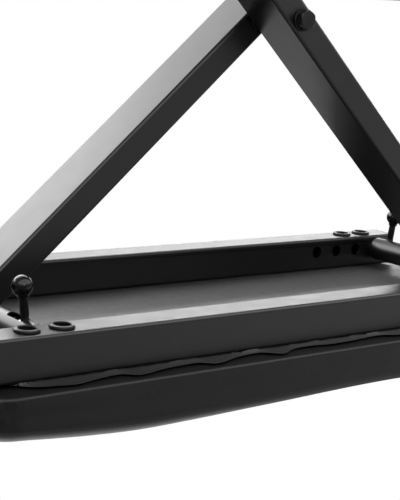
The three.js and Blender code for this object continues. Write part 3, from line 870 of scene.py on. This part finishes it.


# Seat screws and spring stops, which stay as CAD solids: corners joined, round corners smooth, edges over an angle
# sharp, wide faces flat
def shading_group(degrees):
    group = bpy.data.node_groups.new("shading", "GeometryNodeTree")
    for way in ("INPUT", "OUTPUT"):
        group.interface.new_socket("Geometry", in_out=way, socket_type="NodeSocketGeometry")
    last = group.nodes.new("NodeGroupInput").outputs[0]
    join = group.nodes.new("GeometryNodeMergeByDistance")
    join.inputs["Distance"].default_value = 0.00001
    plain = group.nodes.new("GeometryNodeRemoveAttribute")
    plain.inputs["Name"].default_value = "custom_normal"
    soft = group.nodes.new("GeometryNodeSetShadeSmooth")
    soft.domain = "FACE"
    sharp = group.nodes.new("GeometryNodeSetShadeSmooth")
    sharp.domain = "EDGE"
    sharp.inputs["Shade Smooth"].default_value = False
    angle = group.nodes.new("GeometryNodeInputMeshEdgeAngle")
    wide = group.nodes.new("FunctionNodeCompare")
    wide.operation = "GREATER_THAN"
    wide.inputs["B"].default_value = math.radians(degrees)
    group.links.new(angle.outputs[0], wide.inputs["A"])
    group.links.new(wide.outputs[0], sharp.inputs["Selection"])
    for node in (join, plain, soft, sharp):
        group.links.new(last, node.inputs["Geometry"])
        last = node.outputs["Geometry"]
    group.links.new(last, group.nodes.new("NodeGroupOutput").inputs[0])
    return group


cad_shading = shading_group(50)
for name, node in nodes.items():
    if name.startswith(("seat_screw", "spring_stop")):
        node.modifiers.new("shading", "NODES").node_group = cad_shading
        node.modifiers.new("level", "WEIGHTED_NORMAL").keep_sharp = True


# Underside sheet
SHEET_THICKNESS = 0.0008
SHEET_CORNER = 0.034
SHEET_HALF_LENGTH = 0.3145
HEM_HANG = 0.0021  # how far the hem hangs at most
HEM_DROOP = ((0, 0), (0.12, 0.8), (0.24, 1), (0.6, 0.5), (0.9, 0.1), (1, 0.05))  # from the rail's face to the edge
HEM_RIM = 0.0006  # how far the round rim stands out
FRONT_EDGE = (  # read off the photograph: X, how far from the middle plane
    (-0.314, 0.139), (-0.285, 0.1405), (-0.262, 0.1465), (-0.232, 0.140), (-0.205, 0.1385), (-0.172, 0.1445),
    (-0.150, 0.1395), (-0.118, 0.1375), (-0.085, 0.143), (-0.064, 0.137), (-0.028, 0.140), (-0.004, 0.141),
    (0.023, 0.138), (0.042, 0.1395), (0.060, 0.1468), (0.075, 0.137), (0.102, 0.139), (0.130, 0.1466), (0.142, 0.1395),
    (0.156, 0.139), (0.177, 0.141), (0.205, 0.1465), (0.217, 0.1395), (0.236, 0.141), (0.262, 0.1465), (0.277, 0.1435),
    (0.314, 0.140),
)


def curve(points, x):
    """A smooth value through points, its slope at each taken from the points beside it."""
    last = len(points) - 1
    i = next((k for k in range(last) if x <= points[k + 1][0]), last - 1)
    (x0, y0), (x1, y1) = points[i], points[i + 1]
    (xa, ya), (xb, yb) = points[max(i - 1, 0)], points[min(i + 2, last)]
    t = min(max((x - x0) / (x1 - x0), 0), 1)
    rise_0 = (y1 - ya) / (x1 - xa) * (x1 - x0)
    rise_1 = (yb - y0) / (xb - x0) * (x1 - x0)
    near = ((2 * t - 3) * t * t + 1) * y0 + ((t - 2) * t + 1) * t * rise_0
    return near + (3 - 2 * t) * t * t * y1 + (t - 1) * t * t * rise_1


def underside_sheet():
    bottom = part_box("underside_sheet")[0][2]
    columns, rows = 420, 60
    past = SHEET_HALF_LENGTH - SHEET_CORNER

    def width(x, side):
        edge = curve(FRONT_EDGE, x * -side)
        over = abs(x) - past
        if over <= 0:
            return edge
        return edge - SHEET_CORNER + math.sqrt(max(SHEET_CORNER ** 2 - over * over, 0))

    def make(bm):
        layers = []
        for lift in (0, SHEET_THICKNESS):
            layer = []
            for i in range(columns + 1):
                x = SHEET_HALF_LENGTH * math.sin(math.pi * (i / columns - 0.5))
                column = []
                for j in range(rows + 1):
                    across = 2 * j / rows - 1
                    side = 1 if across > 0 else -1
                    wide = width(x, side)
                    share = 1 - (1 - abs(across)) ** 1.6
                    y = side * wide * share
                    out = min(max(abs(y) - RAIL_FACE, 0) / max(wide - RAIL_FACE, 0.001), 1)
                    droop = HEM_HANG * curve(HEM_DROOP, out)
                    wave = 0.00012 * math.sin(x * 61 + y * 37) * math.sin(y * 83 + 1)
                    column.append(bm.verts.new((x, y, bottom + 0.0001 + lift * 0.85 - droop + wave * (out == 0))))
                layer.append(column)
            layers.append(layer)
        for layer, flip in zip(layers, (True, False)):
            for i in range(columns):
                for j in range(rows):
                    quad = (layer[i][j], layer[i + 1][j], layer[i + 1][j + 1], layer[i][j + 1])
                    bm.faces.new(quad[::-1] if flip else quad)
        loop = [(i, 0) for i in range(columns)] + [(columns, j) for j in range(rows)]
        loop += [(i, rows) for i in range(columns, 0, -1)] + [(0, j) for j in range(rows, 0, -1)]
        rims = []
        for i, j in loop:
            under, over = layers[0][i][j], layers[1][i][j]
            inner = layers[0][min(max(i, 1), columns - 1)][min(max(j, 1), rows - 1)]
            outward = Vector((under.co.x - inner.co.x, under.co.y - inner.co.y, 0)).normalized()
            rim = [under.co.lerp(over.co, share) + outward * HEM_RIM * math.sin(math.pi * share)
                   for share in (0.12, 0.35, 0.65, 0.88)]
            rims.append([under, *(bm.verts.new(point) for point in rim), over])
        bridge(bm, list(zip(*rims)))

    piece = from_bmesh("underside_sheet_finish", make, 60)
    stand_for(piece, "underside_sheet", "seat", "underside_cloth")


underside_sheet()


# Seat cushion: a taut vinyl pad, swollen a little by a cloth simulation, its folded lower edge held
PAD_CORNER = 0.040  # radius of its corners from above
PAD_SIDE = 0.035  # height of its straight sides
PAD_FOLD = 0.0028  # radius of its lower edge
PAD_EDGE = 0.018  # radius of its upper edge
PAD_TOP = 0.053  # height of its crown
PAD_GIVE = 0.003  # how far it swells
PAD_WAVE = 0.0008  # how far the simulation may move a point from that
PAD_POINTS = 560  # points round it
CREASE_AT = 0.3255  # |X| of the crease at each corner
CREASE_WIDTH = 0.0026
CREASE_DEPTH = 0.0016
PAD_HEIGHTS = (  # X, and the pad's height there as a share
    (-0.350, 0.668), (-0.330, 0.693), (-0.303, 0.728), (-0.280, 0.773), (-0.245, 0.833), (-0.200, 0.878),
    (-0.150, 0.853), (-0.100, 0.803), (-0.050, 0.798), (0.0, 0.816), (0.047, 0.841), (0.100, 0.863),
    (0.153, 0.884), (0.200, 0.886), (0.245, 0.836), (0.280, 0.773), (0.303, 0.726), (0.330, 0.693), (0.350, 0.668),
)


def give(height):
    """How free the pad is to swell at a height: not at all at its folded lower edge, fully above it."""
    return min(max((height - 0.005) / 0.014, 0), 1)


def pad_outline(inset):
    """Evenly spaced points round the pad, a little inside its edge."""
    radius = max(PAD_CORNER - inset, 0.008)
    x, y = seat_half_length - inset - radius, seat_half_width - inset - radius
    straight_x, straight_y, bend = 2 * x, 2 * y, math.pi * radius / 2
    total = 2 * (straight_x + straight_y) + 4 * bend
    corners = ((x, y), (-x, y), (-x, -y), (x, -y))
    points = []
    for k in range(PAD_POINTS):
        along = total * k / PAD_POINTS
        for stretch, length in enumerate((straight_y, bend, straight_x, bend) * 2):
            if along <= length + 1e-9:
                break
            along -= length
        quarter, bent = divmod(stretch, 2)
        if bent:
            cx, cy = corners[quarter]
            angle = quarter * math.pi / 2 + along / radius
            points.append((cx + radius * math.cos(angle), cy + radius * math.sin(angle)))
        else:
            points.append(((x + radius, -y + along), (x - along, y + radius),
                           (-x - radius, y - along), (-x + along, -y - radius))[quarter])
    return points


def pad_rings():
    """(inset, height, whether on top) of the pad's section, from the middle of its underside to its crown."""
    section = [(inset, 0, 0) for inset in (0.12, 0.08, 0.05, 0.03, 0.018, 0.010, 0.006, 0.004)]
    for k in range(1, 6):
        angle = math.radians(18 * k)
        section.append((PAD_FOLD * (1 - math.sin(angle)), PAD_FOLD * (1 - math.cos(angle)), 0))
    section += [(0, height, 0) for height in (0.0045, 0.0075, 0.0115, 0.016, 0.021, 0.026, 0.031, PAD_SIDE)]
    for k in range(1, 9):
        angle = math.radians(90 * k / 8)
        section.append((PAD_EDGE * (1 - math.cos(angle)), PAD_SIDE + PAD_EDGE * math.sin(angle), 0))
    for k in range(1, 15):
        share = 0.93 * k / 14
        section.append((PAD_EDGE + share * (seat_half_width - PAD_EDGE), PAD_SIDE + PAD_EDGE, 1))
    return [(inset + PAD_GIVE * give(height), height - (PAD_GIVE if height > PAD_SIDE else 0), on_top)
            for inset, height, on_top in section]


def pad_shape(bm):
    """The pad before it swells."""
    rings = []
    end, side = seat_half_length - PAD_EDGE - PAD_GIVE, seat_half_width - PAD_EDGE - PAD_GIVE
    for inset, height, on_top in pad_rings():
        outline = pad_outline(min(inset, 0.03))
        extra = max(inset - 0.03, 0)
        ring = []
        for x, y in outline:
            if extra:
                x *= 1 - extra / (seat_half_length - 0.03)
                y *= 1 - extra / (seat_half_width - 0.03)
            z = height * (1 + (curve(PAD_HEIGHTS, x) - 1) * min(max((height - 0.004) / 0.02, 0), 1))
            crown = (1 - min(abs(x) / end, 1) ** 3) * (1 - min(abs(y) / side, 1) ** 2)
            ring.append(bm.verts.new((x, y, seat_base + z + on_top * crown * (PAD_TOP - z))))
        rings.append(ring)
    bridge(bm, rings)
    ends = [bm.faces.new(rings[0]), bm.faces.new(rings[-1])]
    bmesh.ops.triangulate(bm, faces=ends, ngon_method="BEAUTY")


def swelling():
    """Swells an even copy of the pad as cloth, and tells how far the cloth came out near a point."""
    cover = from_bmesh("swelling_cover", pad_shape, 180)
    remesh = cover.modifiers.new("remesh", "REMESH")
    remesh.mode = "VOXEL"
    remesh.voxel_size = 0.006
    keep_modified(cover)
    start = np.array([v.co for v in cover.data.vertices])
    normals = np.array([v.normal for v in cover.data.vertices])
    group = cover.vertex_groups.new(name="held")
    for index, height in enumerate(start[:, 2] - seat_base):
        group.add([index], 1 - give(height), "REPLACE")
    cloth = cover.modifiers.new("cloth", "CLOTH")
    cloth.settings.use_pressure = True
    cloth.settings.uniform_pressure_force = 4
    cloth.settings.effector_weights.gravity = 0
    cloth.settings.vertex_group_mass = "held"
    cloth.settings.quality = 5
    cloth.settings.tension_stiffness = 20
    cloth.settings.bending_stiffness = 0.6
    cloth.point_cache.frame_start, cloth.point_cache.frame_end = 1, 20
    for step in range(1, 21):
        bpy.context.scene.frame_set(step)
    keep_modified(cover)
    bpy.context.scene.frame_set(1)
    out = ((np.array([v.co for v in cover.data.vertices]) - start) * normals).sum(axis=1)
    print("cloth came out by", [round(float(v) * 1000, 1) for v in np.percentile(out, (0, 10, 50, 90, 100))], "mm")
    bpy.data.objects.remove(cover)
    out -= np.median(out)
    tree = KDTree(len(start))
    for index, point in enumerate(start):
        tree.insert(point, index)
    tree.balance()
    return lambda point: float(np.mean([out[index] for _, index, _ in tree.find_n(point, 24)]))


def make_pad():
    """The pad, swollen straight outward at its sides and straight up on its top."""
    pad = from_bmesh("seat_cover_finish", pad_shape, 180)
    spread = swelling()
    sides = sum(not on_top for _, _, on_top in pad_rings()) * PAD_POINTS
    outward = [vertex.normal.copy() for vertex in pad.data.vertices[:sides]]
    for index, vertex in enumerate(pad.data.vertices):
        wave = min(max(spread(vertex.co) * 0.4, -PAD_WAVE), PAD_WAVE) if spread else 0
        way = outward[index] if index < sides else Vector((0, 0, 1))
        vertex.co += way * (PAD_GIVE + wave) * give(vertex.co.z - seat_base)
    finer = pad.modifiers.new("finer", "SUBSURF")
    finer.levels = finer.render_levels = 1
    keep_modified(pad)
    pleat(pad)
    return smooth(pad, 180)


def pleat(pad):
    """Gathers the vinyl in small folds round each corner's lower edge, with one crease where each corner starts."""
    for vertex in pad.data.vertices:
        x, y, z = vertex.co
        height = z - seat_base
        if 0.001 < height < 0.03 and abs(y) > seat_half_width - 0.01:
            pinch = (abs(x) - CREASE_AT + (height - 0.010) * 0.3) / CREASE_WIDTH
            span = math.sin(math.pi * min(max((height - 0.001) / 0.022, 0), 1))
            vertex.co.y += math.copysign(CREASE_DEPTH * math.exp(-pinch * pinch) * span, y)
        dx = abs(x) - (seat_half_length - PAD_CORNER)
        dy = abs(y) - (seat_half_width - PAD_CORNER)
        if dx < -0.03 or dy < -0.03 or height > 0.04 or height < 0.0003:
            continue
        turn = math.atan2(max(dy, 0) + min(dx, 0) * -0.2, max(dx, 0) + min(dy, 0) * -0.2)
        if math.hypot(max(dx, 0), max(dy, 0)) < PAD_CORNER * 0.55:
            continue
        fade = math.exp(-height / 0.011) * math.sin(min(max(turn, 0), math.pi / 2) * 2) ** 0.6
        fold = math.cos(turn * 20 + math.copysign(0.6, x)) ** 3
        push = 0.0011 * fold * fade
        vertex.co.x += math.copysign(push * math.cos(turn), x)
        vertex.co.y += math.copysign(push * math.sin(turn), y)


pad = make_pad()
stand_for(pad, ("seat_cover", "seat_foam"), "seat", "cover_vinyl")


# Studio
FLOOR_HALF = 6
LAMP_FACTOR = 4  # an area lamp of about this power for each square metre shows as white
WORLD_LIGHT = 0.45
# What gloss sees of the world: while X, Y or Z of the direction goes from one number to the next, the level goes from
# the third to the last. The first four together shape the light of the sides, the last two add light from above.
WORLD_FADES = (
    ("Z", 0.12, 0.6, 1, 0.45), ("X", -0.62, -0.1, 1, 0.28), ("Y", 0.1, 0.4, 1, 0.05), ("Z", 0, 0.2, 0.3, 1),
    ("Z", 0.45, 0.65, 0, 0.6), ("X", -0.45, -0.2, 0, 1),
)


def add_floor():
    mesh = bpy.data.meshes.new("floor")
    size = FLOOR_HALF
    mesh.from_pydata([(-size, -size, 0), (size, -size, 0), (size, size, 0), (-size, size, 0)], [], [(0, 1, 2, 3)])
    floor = bpy.data.objects.new("floor", mesh)
    bpy.context.collection.objects.link(floor)
    material = new_material("floor_paper", grey(0.82), 0.7)
    vary(material, "Base Color", noise(material, 3), grey(0.8), grey(0.84))
    floor.data.materials.append(material)


def add_area(name, place_at, turn, size, strength):
    """A soft lamp that no camera sees. turn is in degrees from facing down, and a strength of 1 is white."""
    data = bpy.data.lights.new(name, "AREA")
    data.shape = "RECTANGLE"
    data.size, data.size_y = size
    data.energy = strength * LAMP_FACTOR * size[0] * size[1]
    lamp = bpy.data.objects.new(name, data)
    lamp.location = place_at
    lamp.rotation_euler = [math.radians(a) for a in turn]
    lamp.visible_camera = False
    bpy.context.collection.objects.link(lamp)


def add_world():
    world = bpy.data.worlds.new("studio")
    bpy.context.scene.world = world
    world.use_nodes = True
    world.node_tree.nodes.clear()
    path = add_node(world, "ShaderNodeLightPath").outputs
    direction = axes(world, "Generated")
    fades = [ramp(world, direction[axis], *span) for axis, *span in WORLD_FADES]

    def combine(operation, *values):
        last = values[0]
        for value in values[1:]:
            node = add_node(world, "ShaderNodeMath", operation=operation)
            wire(world, last, node.inputs[0])
            wire(world, value, node.inputs[1])
            last = node.outputs[0]
        return last

    side = combine("MULTIPLY", *fades[:4])
    above = combine("MULTIPLY", *fades[4:])
    seen = combine("MAXIMUM", *(path[f"Is {kind} Ray"] for kind in ("Camera", "Glossy", "Transmission")))
    soft = add_node(world, "ShaderNodeBackground", Color=(1, 1, 1, 1), Strength=WORLD_LIGHT)
    white = add_node(world, "ShaderNodeBackground", Color=(1, 1, 1, 1))
    wire(world, combine("MAXIMUM", side, above, path["Is Camera Ray"]), white.inputs["Strength"])
    mix = add_node(world, "ShaderNodeMixShader")
    for value, socket in zip((seen, soft.outputs[0], white.outputs[0]), mix.inputs):
        wire(world, value, socket)
    wire(world, mix.outputs[0], add_node(world, "ShaderNodeOutputWorld").inputs[0])


add_floor()
add_world()
add_area("top_soft", (-0.4, 0.9, 2.3), (-22, 0, 0), (2.4, 1.8), 1.2)
for name, x, y, size, strength in (  # just above the floor, facing up
    ("low_near", -0.05, 0.31, (0.9, 0.26), 2.2),
    ("low_middle", 0.35, 0.53, (1.1, 0.18), 4),
    ("low_beyond", 0.35, 0.84, (1.1, 0.44), 5),
    ("low_far", -1.75, 1.25, (2.4, 0.46), 6.6),
    ("low_far_side", -0.1, 1.25, (0.9, 0.46), 3.4),
    ("low_back", -1.2, 2.6, (5.2, 2), 0.35),
    ("low_front", 0.1, -0.5, (1.7, 0.7), 1.4),
    ("low_edge", -0.6, -0.3, (0.7, 0.2), 3.2),
    ("low_key", 0.32, -0.95, (0.16, 0.16), 18),
):
    add_area(name, (x, y, 0.004), (180, 0, 0), size, strength)
bpy.context.scene.view_settings.view_transform = "Standard"
